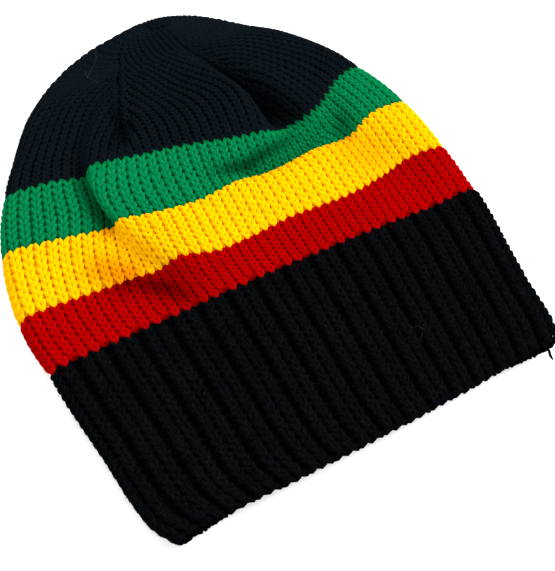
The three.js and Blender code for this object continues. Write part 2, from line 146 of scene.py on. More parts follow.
def hat_surface(stitch, at):
    """The middle of the knit wall at a stitch round the hat and a place along it, in pieces from the brim."""
    stitch, at = np.broadcast_arrays(np.asarray(stitch, float), np.asarray(at, float))
    quarter, half_turn = STITCHES_ROUND / 4, STITCHES_ROUND / 2
    turn = stitch % STITCHES_ROUND
    on_top = turn <= half_turn
    from_left = np.where(on_top, turn, STITCHES_ROUND - turn)
    left_half = from_left <= quarter
    part = np.where(left_half, from_left, half_turn - from_left) / quarter
    section = {name: read(SECTIONS, "at", name, at) for name in SECTIONS if name != "at"}
    slide = {name: read(SLIDES, "at", name, at) * STRIPE_DEPTH for name in SLIDES if name != "at"}

    arc_share = section["round"]
    arc = arc_share / (arc_share + np.pi / 2 * (1 - arc_share))
    in_arc = part < arc_share
    bend = np.pi / 2 * np.minimum(part / arc_share, 1)
    flat = (part - arc_share) / np.maximum(1 - arc_share, 1e-9)
    across = np.where(in_arc, arc * (1 - np.cos(bend)), arc + (1 - arc) * flat)
    up = np.where(in_arc, np.sin(bend), 1.0)
    left, right = section["left"] * HALF_WIDTH, section["right"] * HALF_WIDTH
    edge = np.where(left_half, left, right)
    x = edge + ((left + right) / 2 - edge) * across

    rounded = smooth_step((arc_share - ROUND_FROM) / ROUND_OVER)
    bow = smooth_step(across) * (1 - rounded) + up * rounded
    y = run_along(at) + slide["edge"] * (1 - bow) + np.where(on_top, slide["top"], slide["under"]) * bow
    y = y + np.where(on_top, sag_at(x / HALF_WIDTH, at) * STRIPE_DEPTH, 0)

    rim = section["rim"] * LYING_HEIGHT
    middle = np.where(on_top, section["high"], section["low"]) * LYING_HEIGHT
    swell = np.where(on_top, (1 - TOP_SWELL) * up + TOP_SWELL * np.sin(np.pi / 2 * across), up)
    z = half_wall(at) + rim + (middle - rim) * swell

    inside = smooth_step(across / EDGE_REACH) * on_top
    for pleat in PLEATS:
        knots, place = pleat["knots"], y / HAT_LENGTH
        beside = x - read(knots, "y", "x", place) * HALF_WIDTH
        doubled = read(knots, "y", "doubled", place) * STRIPE_DEPTH
        rise = read(knots, "y", "rise", place) * LYING_HEIGHT
        half = pleat["half"] * HALF_WIDTH
        turned = smooth_step((beside + half) / (2 * half))
        drawn = 1 - smooth_step(np.abs(beside) / (PLEAT_DRAW * HALF_WIDTH))
        fade_left = 1 - smooth_step(-beside / (pleat["near"] * HALF_WIDTH))
        fade_right = 1 - smooth_step(beside / (pleat["far"] * HALF_WIDTH))
        high = np.where(rise > 0, turned * fade_right, (1 - turned) * fade_left)
        low = np.where(rise > 0, (1 - turned) * fade_left, turned * fade_right)
        x = x + doubled * (1 - 2 * turned) * drawn * inside
        z = z + np.abs(rise) * ((1 - pleat["dip"]) * high - pleat["dip"] * low) * inside
    for ridge in RIDGES:
        knots = ridge["knots"]
        beside = x - read(knots, "y", "x", y / HAT_LENGTH) * HALF_WIDTH
        lift = read(knots, "y", "lift", y / HAT_LENGTH) * LYING_HEIGHT
        z = z + lift * np.exp(-(beside / (ridge["half"] * HALF_WIDTH)) ** 2) * inside
    for crease in CREASES:
        knots, place = crease["knots"], x / HALF_WIDTH
        beside = y - read(knots, "x", "y", place) * HAT_LENGTH
        near = beside / (crease["half"] * STRIPE_DEPTH)
        drawn = 1 - smooth_step(np.abs(beside) / (CREASE_DRAW * STRIPE_DEPTH))
        y = y - read(knots, "x", "pull", place) * STRIPE_DEPTH * np.tanh(near) * drawn * inside
        z = z - read(knots, "x", "depth", place) * LYING_HEIGHT * np.exp(-near ** 2) * inside
    corner = smooth_step((x / HALF_WIDTH - CORNER_FROM) / CORNER_OVER)
    z = z + CORNER_LIFT * corner * (1 - smooth_step(at / CORNER_FADE))
    return np.stack([x, y, z], -1)


def half_wall(at):
    """Half the knit's thickness, which is more in the ribs."""
    return KNIT_WALL / 2 + (RIB_WALL - KNIT_WALL) / 2 * (1 - smooth_step((at - 1) / RIB_FADE))


def unit(vectors):
    return vectors / np.maximum(np.linalg.norm(vectors, axis=-1, keepdims=True), 1e-9)


# Steps for the surface's directions, in pieces along and stitches round, and for its run past the brim
ALONG_STEP, ROUND_STEP, BRIM_STEP = 0.012, 0.15, 0.02


def wall_frame(stitch, at):
    """A point on the middle of the wall, the directions outward, round and along there, and how many
    millimetres one piece's length along the hat is there."""
    low = np.clip(at - ALONG_STEP, 0, LAST_PLACE - ALONG_STEP)
    high = np.clip(at + ALONG_STEP, ALONG_STEP, LAST_PLACE)
    on_hat = np.clip(at, 0, 5)
    brim_run = hat_surface(stitch, BRIM_STEP) - hat_surface(stitch, 0.0)
    here = hat_surface(stitch, on_hat) + brim_run * (np.minimum(at, 0) / BRIM_STEP)[..., None]
    round_ = unit(hat_surface(stitch + ROUND_STEP, on_hat) - hat_surface(stitch - ROUND_STEP, on_hat))
    step = hat_surface(stitch, high) - hat_surface(stitch, low)
    along = unit(step)
    outward = unit(np.cross(round_, along))
    return here, outward, round_, along, np.linalg.norm(step, axis=-1) / (high - low)


# Yarn and stitches, in millimetres, stitches and rows
YARN, STITCH_WIDE, STITCH_TALL = 1.0, 5.0, 3.6
LOOP_SWING, LOOP_GATHER, LOOP_REACH = 0.25, 0.045, 0.86
LOOP_DEPTH, LOOP_OUT, LOOP_PINCH = 0.55, 0.42, 0.10
COLUMN_SHIFT, PLAIN_FURROW = 0.5, 0.5
SAMPLES_TOP, SAMPLES_UNDER, EDGE_STITCHES, SIDES = 12, 6, 2, 6
# How far a colour's first feet and last heads lie behind the colour beside it
FOOT_TUCK, HEAD_TUCK = 1.0, 1.3
# How uneven the knit is, and the waves in its rows: height, number round and shift from row to row
STITCH_STRAYS, YARN_STRAYS = 0.035, 0.06
ROW_WAVES = ((0.03, 5, 1.7), (0.025, 13, 0.6))
# Yarn is thicker in taller rows, within these shares of a plain row's height
TALL_LIMITS = (0.85, 2.2)
# Below this height yarn is pressed toward the floor, this softly
FLOOR_NEAR, FLOOR_SOFT = 0.35, 0.6
# From this height over the wall's middle on, and over this depth, yarn comes into the light
PLAIN_LIT, RIB_LIT, CROWN_LIT, RING_LIT = (-0.5, 1.3), (-1.3, 3.2), (-1.1, 1.9), 0.9
# Loose fibres: the share laid all round, stitches past the edges, height over the yarn, lift and curl
FIBRES_ROUND, FIBRES_PAST_EDGE = 0.12, 3
FIBRE_OUT, FIBRE_LIFT, FIBRE_CURL = (-0.5, 0.6), (-0.1, 0.55), (-0.7, 0.7)
HAIR_RADIUS, HAIR_ABOVE, HAIR_SIDES = 0.08, 0.4, 4
# The places of a piece's materials
YARN_LOOKS, LINING_LOOKS, FIBRE_LOOKS, LINT_LOOKS = range(4)


def mesh_of(name, points, faces, uv, material_index, height, materials):
    """An object from arrays in the hat's millimetres, four corners to a face. Its points hold how far the
    yarn stands in the light, as height, and how dark a fold makes it, as fold, which the materials paint as
    shade."""
    mesh = bpy.data.meshes.new(name)
    points = (points + TO_ORIGIN) / 1000
    counts = np.full(len(faces), faces.shape[1], dtype=np.int32)
    mesh.vertices.add(len(points))
    mesh.vertices.foreach_set("co", points.astype(np.float32).ravel())
    mesh.loops.add(faces.size)
    mesh.loops.foreach_set("vertex_index", faces.astype(np.int32).ravel())
    mesh.polygons.add(len(faces))
    mesh.polygons.foreach_set("loop_start", (np.cumsum(counts) - counts).astype(np.int32))
    mesh.polygons.foreach_set("loop_total", counts)
    mesh.polygons.foreach_set("material_index", material_index.astype(np.int32))
    mesh.polygons.foreach_set("use_smooth", np.ones(len(faces), dtype=bool))
    layer = mesh.uv_layers.new(name="yarn")
    layer.data.foreach_set("uv", uv.astype(np.float32).ravel())
    for column, value in enumerate(("height", "fold")):
        on_points = mesh.attributes.new(value, "FLOAT", "POINT")
        on_points.data.foreach_set("value", height[:, column].astype(np.float32))
    mesh.update(calc_edges=True)
    mesh.validate()
    obj = bpy.data.objects.new(name, mesh)
    bpy.context.scene.collection.objects.link(obj)
    for material in materials:
        mesh.materials.append(material)
    return obj


def tube_rings(centre, outward, radius, closed=True, sides=SIDES):
    """Points, faces and yarn coordinates of tubes, one for each first index, along the second."""
    count, length, _ = centre.shape
    ahead = np.roll(centre, -1, axis=1) - np.roll(centre, 1, axis=1)
    if not closed:
        ahead[:, 0] = centre[:, 1] - centre[:, 0]
        ahead[:, -1] = centre[:, -1] - centre[:, -2]
    tangent = unit(ahead)
    side = unit(np.cross(tangent, outward))
    lift = np.cross(side, tangent)
    angle = np.linspace(0, 2 * np.pi, sides, endpoint=False) + np.pi / 2
    ring = np.cos(angle)[:, None] * side[:, :, None, :] + np.sin(angle)[:, None] * lift[:, :, None, :]
    points = centre[:, :, None, :] + ring * radius[:, :, None, None]
    step = np.linalg.norm(np.diff(centre, axis=1, append=centre[:, :1]), axis=-1)
    run = np.concatenate([np.zeros((count, 1)), np.cumsum(step, axis=1)], axis=1)

    i = np.arange(length if closed else length - 1)
    j = np.arange(sides)
    base = (np.arange(count) * length * sides)[:, None, None]
    here, there = (base + step[None, :, None] * sides for step in (i, (i + 1) % length))
    j0, j1 = j[None, None, :], ((j + 1) % sides)[None, None, :]
    faces = np.stack([here + j0, here + j1, there + j1, there + j0], -1).reshape(-1, 4)
    a = np.broadcast_to(run[:, i][:, :, None], (count, len(i), sides))
    b = np.broadcast_to(run[:, i + 1][:, :, None], (count, len(i), sides))
    around = np.broadcast_to((j / sides)[None, None, :], a.shape)
    uv = np.stack([a, around, a, around + 1 / sides, b, around + 1 / sides, b, around], -1).reshape(-1, 2)
    return points.reshape(-1, 3), faces, uv


def join_parts(parts):
    """One set of arrays from several: points, quads, yarn coordinates, material, and height with fold."""
    points, faces, uv, material, height, base = [], [], [], [], [], 0
    for p, f, t, m, h in parts:
        points.append(p)
        faces.append(f + base)
        uv.append(t)
        material.append(np.full(len(f), m))
        height.append(np.repeat(h, len(p) // len(h), axis=0))
        base += len(p)
    return [np.concatenate(arrays) for arrays in (points, faces, uv, material, height)]


def on_upper_layer(stitch):
    """Whether a stitch lies on the top layer or just round its edges."""
    turn = stitch % STITCHES_ROUND
    return (turn < STITCHES_ROUND / 2 + EDGE_STITCHES) | (turn > STITCHES_ROUND - EDGE_STITCHES)


def stitch_samples(middles):
    """Stitch number and share of the stitch at each sample round a row, finer on the top layer."""
    numbers, shares = [], []
    for number, fine in enumerate(on_upper_layer(middles)):
        samples = SAMPLES_TOP if fine else SAMPLES_UNDER
        numbers += [number] * samples
        shares += list(np.arange(samples) / samples)
    return np.array(numbers), np.array(shares)


def loop_path(share):
    """A stitch's yarn: across in stitches from its left side, up in rows, and out from -1 to 1."""
    across = share + LOOP_SWING * np.sin(4 * np.pi * share) + LOOP_GATHER * np.sin(2 * np.pi * share)
    up = -LOOP_REACH * np.cos(2 * np.pi * share)
    front = -np.cos(4 * np.pi * share)
    return across, up, front


def on_floor(points):
    """The underside is pressed flat on the surface that the hat lies on."""
    z = points[:, 2]
    points[:, 2] = np.where(z < FLOOR_NEAR, FLOOR_NEAR * np.exp((z - FLOOR_NEAR) / FLOOR_SOFT), z)
    return points


def jitter(count, size):
    return random.uniform(-size, size, count)


def furrow(place, depth):
    """Knit stands highest at the middle of each column of stitches and lies back between two columns."""
    return -depth * (0.5 + 0.5 * np.cos(2 * np.pi * place)) ** 1.5


# The folds' valleys, where less light comes: stitch, place along the hat, and how dark it is there
VALLEYS = [
    dict(half=6.0, line=((9.0, 3.96, 0.55), (8.7, 3.62, 0.60), (9.0, 3.32, 0.80), (9.8, 3.02, 0.80))),
    dict(half=9.0, line=((8.4, 2.60, 0.20), (9.0, 2.30, 0.70), (10.8, 2.05, 0.90))),
    dict(half=7.0, line=((10.8, 1.97, 0.55), (12.4, 1.78, 0.75), (13.6, 1.58, 0.85), (14.4, 1.32, 0.65),
                         (14.8, 1.08, 0.30))),
    dict(half=9.0, line=((31.4, 4.42, 0.25), (33.2, 4.26, 0.75), (34.4, 4.15, 0.90), (35.4, 4.05, 0.60))),
    dict(half=4.5, line=((22.5, 3.40, 0.10), (25.0, 3.46, 0.70), (26.8, 3.47, 0.90), (28.8, 3.60, 0.80),
                         (32.1, 3.73, 0.60), (35.3, 3.88, 0.15))),
    dict(half=7.0, line=((40.2, 3.70, 0.15), (39.5, 3.30, 0.60), (38.7, 3.00, 0.65))),
    dict(half=12.0, line=((37.6, 2.85, 0.30), (39.4, 2.45, 0.35), (40.9, 2.16, 0.20))),
    dict(half=4.0, line=((14.6, 4.38, 0.25), (15.3, 4.23, 0.75), (14.4, 4.10, 0.40))),
]


def painted_fold_shade(stitch, at):
    """How much painted shade a fold gets: 0 on open cloth, up to 1 at the bottom of a fold on the top layer.
    """
    stitch, at = np.broadcast_arrays(stitch, at)
    turn = (stitch + STITCHES_ROUND / 4) % STITCHES_ROUND - STITCHES_ROUND / 4
    place = np.stack([turn * STITCH_WIDE, run_along(at)], -1)
    dark = np.zeros(turn.shape)
    for valley in VALLEYS:
        knots = np.array(valley["line"])
        ends = np.stack([knots[:, 0] * STITCH_WIDE, run_along(knots[:, 1])], -1)
        for a, b, dark_a, dark_b in zip(ends[:-1], ends[1:], knots[:-1, 2], knots[1:, 2]):
            share = np.clip(((place - a) @ (b - a)) / ((b - a) @ (b - a)), 0, 1)
            gap = np.linalg.norm(place - a - share[..., None] * (b - a), axis=-1)
            here = (dark_a + (dark_b - dark_a) * share) * np.exp(-(gap / valley["half"]) ** 2)
            dark = np.maximum(dark, here)
    return dark


def in_light(out, lit):
    """How far yarn is out of its painted shade: 0 where it lies deep between its neighbours, 1 where it
    stands out.
    """
    start, depth = lit
    return smooth_step((out - start) / depth)


def plain_lifted(stitch, at, out):
    return in_light(out, PLAIN_LIT)


def plain_tuck(stitch):
    return FOOT_TUCK


def plain_furrow(row):
    return PLAIN_FURROW


def straight_columns(row):
    return STITCHES_ROUND, lambda place, at: place + COLUMN_SHIFT


def yarn_rows(numbers, rise, columns=straight_columns, relief=None, reach=None, between=plain_furrow,
              tuck=None, lifted=plain_lifted, heads=None, bury=0.0):
    """Rows of loops. rise turns a row number into a place along the hat, and columns(row) gives the row's
    number of stitches and how they are spread round it. between is the depth of the furrows, tuck is how
    far the feet of the first row come from behind the row below, bury is how much deeper their lowest
    ends lie, and heads is the row whose heads go behind the next colour."""
    parts = []
    for row in numbers:
        count, spread = columns(row)
        number, share = stitch_samples(spread(np.arange(count) + 0.5, rise(row + 0.5)))
        across, up, front = loop_path(share)
        turn = 2 * np.pi * (number + share) / count
        drift = sum(high * np.sin(turn * waves + row * shift) for high, waves, shift in ROW_WAVES)
        each = jitter(count, STITCH_STRAYS)[number]
        place = number + across
        at = rise(row + 0.5 + up + drift + each * 0.5)
        stitch = spread(place, at) + each
        here, outward, _, _, piece_long = wall_frame(stitch, at)
        out = LOOP_OUT + (reach(stitch) if reach else LOOP_DEPTH) * front + furrow(place, between(row))
        out = out + (relief(stitch, at) if relief else 0)
        if row == 0 and tuck:
            foot = 0.5 + 0.5 * np.cos(2 * np.pi * share)
            out = out - tuck(stitch) * foot ** 2 - bury * foot ** 4
        if row == heads:
            out = out - HEAD_TUCK * (0.5 - 0.5 * np.cos(2 * np.pi * share)) ** 4
        centre = here + outward * out[:, None]
        tall = piece_long * (rise(row + 1.0) - rise(row * 1.0)) / STITCH_TALL
        radius = YARN * np.clip(tall, *TALL_LIMITS) ** 0.5 * (1 - LOOP_PINCH * np.cos(4 * np.pi * share))
        radius = radius * (1 + jitter(count, YARN_STRAYS)[number])
        p, f, t = tube_rings(centre[None], outward[None], radius[None])
        lie = np.stack([lifted(stitch, at, out), painted_fold_shade(stitch, at)], -1)
        parts.append((on_floor(p), f, t, YARN_LOOKS, lie))
    return parts


def lining(first, last, steps, depth, relief=None, start=None):
    """The knit behind the legs of the loops, which shows dark between them: its darker colour is painted
    shade. start is the depth where it meets the piece below."""
    stitch = np.arange(0, STITCHES_ROUND, 0.5)
    at = np.linspace(first, last, steps + 1)
    s, v = np.meshgrid(stitch, at)
    here, outward, *_ = wall_frame(s, v)
    deep = np.where(v == first, depth if start is None else start, depth)
    out = (relief(s, v) if relief else 0 * s) - deep
    points = (here + outward * out[..., None]).reshape(-1, 3)
    n = len(stitch)
    i, j = np.meshgrid(np.arange(n), np.arange(steps))
    a, b = j * n + i, j * n + (i + 1) % n
    faces = np.stack([a, b, b + n, a + n], -1).reshape(-1, 4)
    uv = np.stack([i, j, i + 1, j, i + 1, j + 1, i, j + 1], -1).reshape(-1, 2) * 4.0
    dark = painted_fold_shade(s, v).ravel()
    return on_floor(points), faces, uv, LINING_LOOKS, np.stack([0 * dark, dark], -1)


def fibres(count, first, last, longest, wide, relief=None, lifted=None):
    """Fine loose fibres that lie and stand on the yarn, as thin curved strips."""
    stitch = random.uniform(-FIBRES_PAST_EDGE, STITCHES_ROUND / 2 + FIBRES_PAST_EDGE, count)
    around = random.uniform(0, 1, count) < FIBRES_ROUND
    stitch = np.where(around, random.uniform(0, STITCHES_ROUND, count), stitch)
    at = random.uniform(first, last, count)
    here, outward, round_, along, _ = wall_frame(stitch, at)
    base = relief(stitch, at) if relief else np.zeros(count)
    out = LOOP_OUT + YARN + random.uniform(*FIBRE_OUT, count) + base
    turn, lift = random.uniform(0, 2 * np.pi, count), random.uniform(*FIBRE_LIFT, count)
    ahead = round_ * np.cos(turn)[:, None] + along * np.sin(turn)[:, None]
    aside = along * np.cos(turn)[:, None] - round_ * np.sin(turn)[:, None]
    length = longest * random.uniform(0.3, 1.0, count) ** 1.5
    curl = random.uniform(*FIBRE_CURL, count)
    share = np.linspace(0, 1, 3)
    run = (share[None] * length[:, None])[..., None]
    bow = (share[None] ** 2 * (curl * length)[:, None])[..., None]
    arch = (np.sin(np.pi * 0.8 * share)[None] * (lift * length)[:, None])[..., None]
    start = here + outward * out[:, None]
    line = start[:, None] + ahead[:, None] * run + aside[:, None] * bow + outward[:, None] * arch
    half = wide / 2 * (1 - 0.6 * share)[None, :, None] * unit(aside + outward * 0.3)[:, None]
    points = np.stack([line - half, line + half], 2).reshape(-1, 3)
    corner = (np.arange(count) * 6)[:, None] + np.arange(2)[None] * 2
    faces = np.stack([corner, corner + 1, corner + 3, corner + 2], -1).reshape(-1, 4)
    uv = np.tile([[0, 0], [0, 1], [1, 1], [1, 0]], (len(faces), 1)).astype(float)
    lie = lifted(stitch, at, base) if lifted else np.ones(count)
    return on_floor(points), faces, uv, FIBRE_LOOKS, np.stack([lie, painted_fold_shade(stitch, at)], -1)


def strand(points, radius, looks=YARN_LOOKS, sides=SIDES):
    """One open length of yarn through points, each with its own radius."""
    points = np.array(points, float)
    up = np.broadcast_to([0.0, 0.0, 1.0], points.shape)
    p, f, t = tube_rings(points[None], up[None], np.broadcast_to(radius, len(points))[None], False, sides)
    return on_floor(p), f, t, looks, np.tile([1.0, 0.0], (len(points), 1))


def lint_hair(line):
    """A stray pale hair on the knit, through stitches and places along the hat."""
    line = np.array(line, float)
    share = np.linspace(0, len(line) - 1, 6 * len(line))
    stitch, at = (np.interp(share, np.arange(len(line)), line[:, i]) for i in (0, 1))
    here, outward, *_ = wall_frame(stitch, at)
    relief = rib_relief(stitch, at) if at.max() < 1 else np.zeros(len(at))
    out = LOOP_OUT + YARN + HAIR_ABOVE + relief
    return strand(here + outward * out[:, None], HAIR_RADIUS, LINT_LOOKS, HAIR_SIDES)


def closed_ring(centre, outward, radius):
    """A length of yarn that closes round the hat."""
    p, f, t = tube_rings(centre[None], outward[None], np.broadcast_to(radius, len(centre))[None])
    return on_floor(p), f, t, YARN_LOOKS, np.tile([RING_LIT, 0.0], (len(centre), 1))


# Shader maths
class Wire:
    """A socket in a material's nodes, which adds Math nodes when it is used in an expression."""

    def __init__(self, nodes, socket):
        self.nodes, self.socket = nodes, socket

    def math(self, operation, *others):
        return self.nodes.add("ShaderNodeMath", {"operation": operation}, *((self,) + others))[0]

    def __add__(self, other):
        return self.math("ADD", other)

    def __sub__(self, other):
        return self.math("SUBTRACT", other)

    def __rsub__(self, other):
        return (self * -1) + other

    def __mul__(self, other):
        return self.math("MULTIPLY", other)

    def __pow__(self, other):
        return self.math("POWER", other)

    __radd__, __rmul__ = __add__, __mul__


class Nodes:
    """A material's node tree."""

    def __init__(self, name):
        self.material = bpy.data.materials.new(name)
        self.material.use_nodes = True
        self.tree = self.material.node_tree
        self.shader = self.tree.nodes["Principled BSDF"]

    def add(self, kind, settings=None, *values, **named):
        node = self.tree.nodes.new(kind)
        for key, value in (settings or {}).items():
            setattr(node, key, value)
        for key, value in list(enumerate(values)) + list(named.items()):
            key = key.replace("_", " ") if isinstance(key, str) else key
            self.feed(node.inputs[key], value)
        return [Wire(self, socket) for socket in node.outputs]

    def feed(self, socket, value):
        if isinstance(value, Wire):
            self.tree.links.new(value.socket, socket)
        else:
            socket.default_value = value

    def noise(self, scale, detail):
        """Noise over the object's own space."""
        place = self.add("ShaderNodeTexCoord")[3]
        return self.add("ShaderNodeTexNoise", None, Vector=place, Scale=scale, Detail=detail)[0]

    def on_points(self, name):
        """A number that the mesh holds at its points."""
        return self.add("ShaderNodeAttribute", {"attribute_name": name})[2]

    def set(self, **sockets):
        for key, value in sockets.items():
            self.feed(self.shader.inputs[key.replace("_", " ")], value)
        return self.material


def mixed(nodes, factor, one, other):
    """A colour between two others."""
    node = nodes.tree.nodes.new("ShaderNodeMix")
    node.data_type = "RGBA"
    nodes.feed(node.inputs["Factor"], factor)
    nodes.feed(node.inputs["A"], one)
    nodes.feed(node.inputs["B"], other)
    return Wire(nodes, node.outputs["Result"])


# Yarn's plies, how strongly they stand out, and the scale of its fine grain
PLIES, PLY_LONG, PLY_BUMP, GRAIN = 3, 3.4, 0.6, 900.0


def yarn_material(name, colour, deep, pale, shadow, sheen=0.0):
    """Spun yarn: plies twisted round each other, fine fibres along them and a soft bloom. Its colour holds
    painted shade: darker in the creases between plies, where it lies deep and in folds.
    """
    n = Nodes(name)
    uv = n.add("ShaderNodeUVMap", {"uv_map": "yarn"})[0]
    x, y, _ = n.add("ShaderNodeSeparateXYZ", None, uv)
    ply = ((x * (1 / PLY_LONG) + y * PLIES) * np.pi).math("SINE").math("ABSOLUTE")
    fibre_at = n.add("ShaderNodeCombineXYZ", None, x * 0.9 + y * 2.0, y * 9.0, 0.0)[0]
    fibre = n.add("ShaderNodeTexNoise", {"noise_dimensions": "2D"}, Vector=fibre_at, Scale=3.2, Detail=3.0)[0]
    patch, broad = n.noise(GRAIN, 2.0), n.noise(34.0, 2.0)
    shade = mixed(n, (fibre * 1.2 + patch * 1.9 - 1.05).math("MINIMUM", 1.0).math("MAXIMUM", 0.0), deep, pale)
    # Painted shade in the creases between the plies
    shade = mixed(n, (1 - ply) ** 3.0 * 0.5, shade, deep)
    tone = mixed(n, broad * 0.5 + 0.35, colour, shade)
    # Painted shade: yarn that lies deep goes toward the deep colour, and yarn in a fold toward the shadow
    # colour
    tone = mixed(n, n.on_points("height"), deep, tone)
    tone = mixed(n, n.on_points("fold"), tone, shadow)
    height = ply * 0.5 + fibre * 0.5 + patch * 0.6
    normal = n.add("ShaderNodeBump", None, Strength=PLY_BUMP, Distance=0.0006, Height=height)[0]
    return n.set(Base_Color=tone, Roughness=0.95, Normal=normal, Sheen_Weight=sheen, Sheen_Roughness=0.6,
                 Specular_IOR_Level=0.0)


def dimmed(colour, share):
    return tuple(c * share for c in colour[:3]) + (1,)


def lining_material(name, colour, shadow):
    """The knit deep behind the loops, in a colour darker than its yarn's: painted shade for the holes between
    the loops, with painted fold shade on top.
    """
    n = Nodes(name)
    grain = n.noise(GRAIN, 3.0)
    normal = n.add("ShaderNodeBump", None, Strength=0.3, Distance=0.0005, Height=grain)[0]
    tone = mixed(n, grain, dimmed(colour, 0.45), colour)
    tone = mixed(n, n.on_points("fold"), tone, shadow)
    return n.set(Base_Color=tone, Roughness=0.95, Normal=normal, Specular_IOR_Level=0.0)


def fibre_material(name, colour, shadow):
    """Loose fibres, with painted shade: darker where they lie deep or in a fold."""
    n = Nodes(name)
    tone = mixed(n, n.noise(300.0, 1.0), dimmed(colour, 0.5), colour)
    tone = mixed(n, n.on_points("height"), shadow, tone)
    tone = mixed(n, n.on_points("fold"), tone, shadow)
    return n.set(Base_Color=tone, Roughness=0.9, Specular_IOR_Level=0.0)


def rgb(r, g, b):
    return (r, g, b, 1.0)


# What each yarn's colour goes to at the bottom of a fold
SHADOWS = {
    "black": rgb(0.0001, 0.0003, 0.0006), "red": rgb(0.05, 0.0, 0.0), "yellow": rgb(0.60, 0.15, 0.0),
    "green": rgb(0.0, 0.028, 0.008),
}
# The crown's black yarn is the band's yarn painted lighter, as painted light on the crown
crown_yarn_painted_lighter = yarn_material("crown_yarn_painted_lighter", rgb(0.0030, 0.0054, 0.0076), rgb(0.0010, 0.0026, 0.0040),
                           rgb(0.0058, 0.0090, 0.0116), SHADOWS["black"], 0.002)
black_yarn = yarn_material("black_yarn", rgb(0.0007, 0.0013, 0.0018), rgb(0.0001, 0.0003, 0.0005),
                           rgb(0.0058, 0.0070, 0.0086), SHADOWS["black"])
red_yarn = yarn_material("red_yarn", rgb(0.355, 0.0002, 0.0003), rgb(0.285, 0.0, 0.0),
                         rgb(0.38, 0.001, 0.001), SHADOWS["red"])
yellow_yarn = yarn_material("yellow_yarn", rgb(0.86, 0.475, 0.0), rgb(0.85, 0.40, 0.0),
                            rgb(0.88, 0.51, 0.001), SHADOWS["yellow"])
green_yarn = yarn_material("green_yarn", rgb(0.0005, 0.158, 0.044), rgb(0.0, 0.108, 0.028),
                           rgb(0.004, 0.245, 0.088), SHADOWS["green"])
# The linings are darker than their yarns, painted shade for the holes between loops; the crown's is painted
# lighter than the band's, as painted light
linings = {
    "black": lining_material("black_lining", rgb(0.0006, 0.0009, 0.0013), SHADOWS["black"]),
    "crown": lining_material("crown_lining_painted_lighter", rgb(0.0010, 0.0024, 0.0036), SHADOWS["black"]),
    "red": lining_material("red_lining", rgb(0.34, 0.0, 0.0), SHADOWS["red"]),
    "yellow": lining_material("yellow_lining", rgb(0.88, 0.36, 0.0), SHADOWS["yellow"]),
    "green": lining_material("green_lining", rgb(0.0, 0.10, 0.028), SHADOWS["green"]),
}
loose_fibres = {
    "black": fibre_material("black_fibres", rgb(0.0092, 0.0112, 0.0138), SHADOWS["black"]),
    "red": fibre_material("red_fibres", rgb(0.42, 0.001, 0.001), SHADOWS["red"]),
    "yellow": fibre_material("yellow_fibres", rgb(0.88, 0.52, 0.003), SHADOWS["yellow"]),
    "green": fibre_material("green_fibres", rgb(0.01, 0.23, 0.085), SHADOWS["green"]),
}
lint = fibre_material("lint", rgb(0.055, 0.058, 0.062), SHADOWS["black"])
# Stray hairs and specks of lint, by stitch and place along the hat
BAND_LINT = [
    [(32.5, 0.392), (33.4, 0.370), (33.6, 0.340), (33.1, 0.310), (32.3, 0.290)],
    [(11.1, 0.530), (11.25, 0.533)], [(45.60, 0.270), (45.75, 0.272)],
]
CROWN_LINT = [
    [(1.7, 4.86), (5.0, 4.84), (6.8, 4.81), (8.8, 4.74), (10.1, 4.68)],
    [(6.7, 4.77), (9.2, 4.72), (11.2, 4.65), (12.7, 4.60)],
]


def piece(name, parts, materials, node):
    """A finished piece of the hat, which stands for one of the part's solids."""
    obj = mesh_of(name, *join_parts(parts), materials)
    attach(obj, "root")
    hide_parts(node)


# The band: of each three columns two of knit stand out, and one of purl is drawn in between them
BAND_ROWS, LOWER_BAND_ROWS = 23, 12
RIB = STITCHES_ROUND / RIBS_ROUND
KNIT_RIDGE, RIDGE_HIGH, PURL_DEEP, FURROW_DEEP = 0.297, 1.5, 3.3, 1.8
RIBS_END_FROM, RIBS_END_OVER = 0.95, 0.24
# Where a rib's even columns lie once the purl is drawn in, in stitches
RIB_EVEN, RIB_DRAWN = (0, 1, 2, 2.5, 3), (0.28, 1.5, 2.72, 3.0, 3.28)
# How narrow the purl column is, and how deep and how far round the first red feet go behind it
PURL_NARROW, PURL_TUCK, PURL_TUCK_WIDE, RED_FEET_BURIED = 0.07, 6.0, 0.16, 1.8
# The band's lining runs this far on behind the red stripe, at this depth
LINING_PAST, RIB_LINING_DEEP = 0.08, 0.75
# The brim's twisted edge: its place along the hat, how far out it lies, its twist and its thickness
BRIM_PLACE, BRIM_OUT, BRIM_TWIST_OUT, BRIM_TWIST_ALONG, BRIM_STRAND = -0.004, 0.35, 0.55, 0.5, 0.95


def rib_share(at):
    """How much of the ribs is left: they run out into the first stripe."""
    return 1 - smooth_step((at - RIBS_END_FROM) / RIBS_END_OVER)


def from_purl(stitch):
    """How far a stitch is from the middle of the nearest purl column, as a share of a rib."""
    share = (stitch / RIB) % 1
    return np.minimum(share, 1 - share)


def rib_columns(row):
    def spread(place, at):
        rib, share = np.divmod(place, RIB)
        drawn = rib * RIB + np.interp(share, RIB_EVEN, RIB_DRAWN)
        even = place + COLUMN_SHIFT
        return even + (drawn - even) * rib_share(at)
    return STITCHES_ROUND, spread


def rib_relief(stitch, at):
    """The knit columns stand out, and lie back toward the purl and in the furrow between the two."""
    side = from_purl(stitch)
    to_purl = np.clip((KNIT_RIDGE - side) / KNIT_RIDGE, 0, 1)
    to_furrow = np.clip((side - KNIT_RIDGE) / (0.5 - KNIT_RIDGE), 0, 1)
    return (RIDGE_HIGH - PURL_DEEP * to_purl ** 2 - FURROW_DEEP * to_furrow ** 2) * rib_share(at)


def rib_reach(stitch):
    """Purl's loops are turned the other way round."""
    return LOOP_DEPTH * (1 - 2 * np.exp(-(from_purl(stitch) / PURL_NARROW) ** 2))


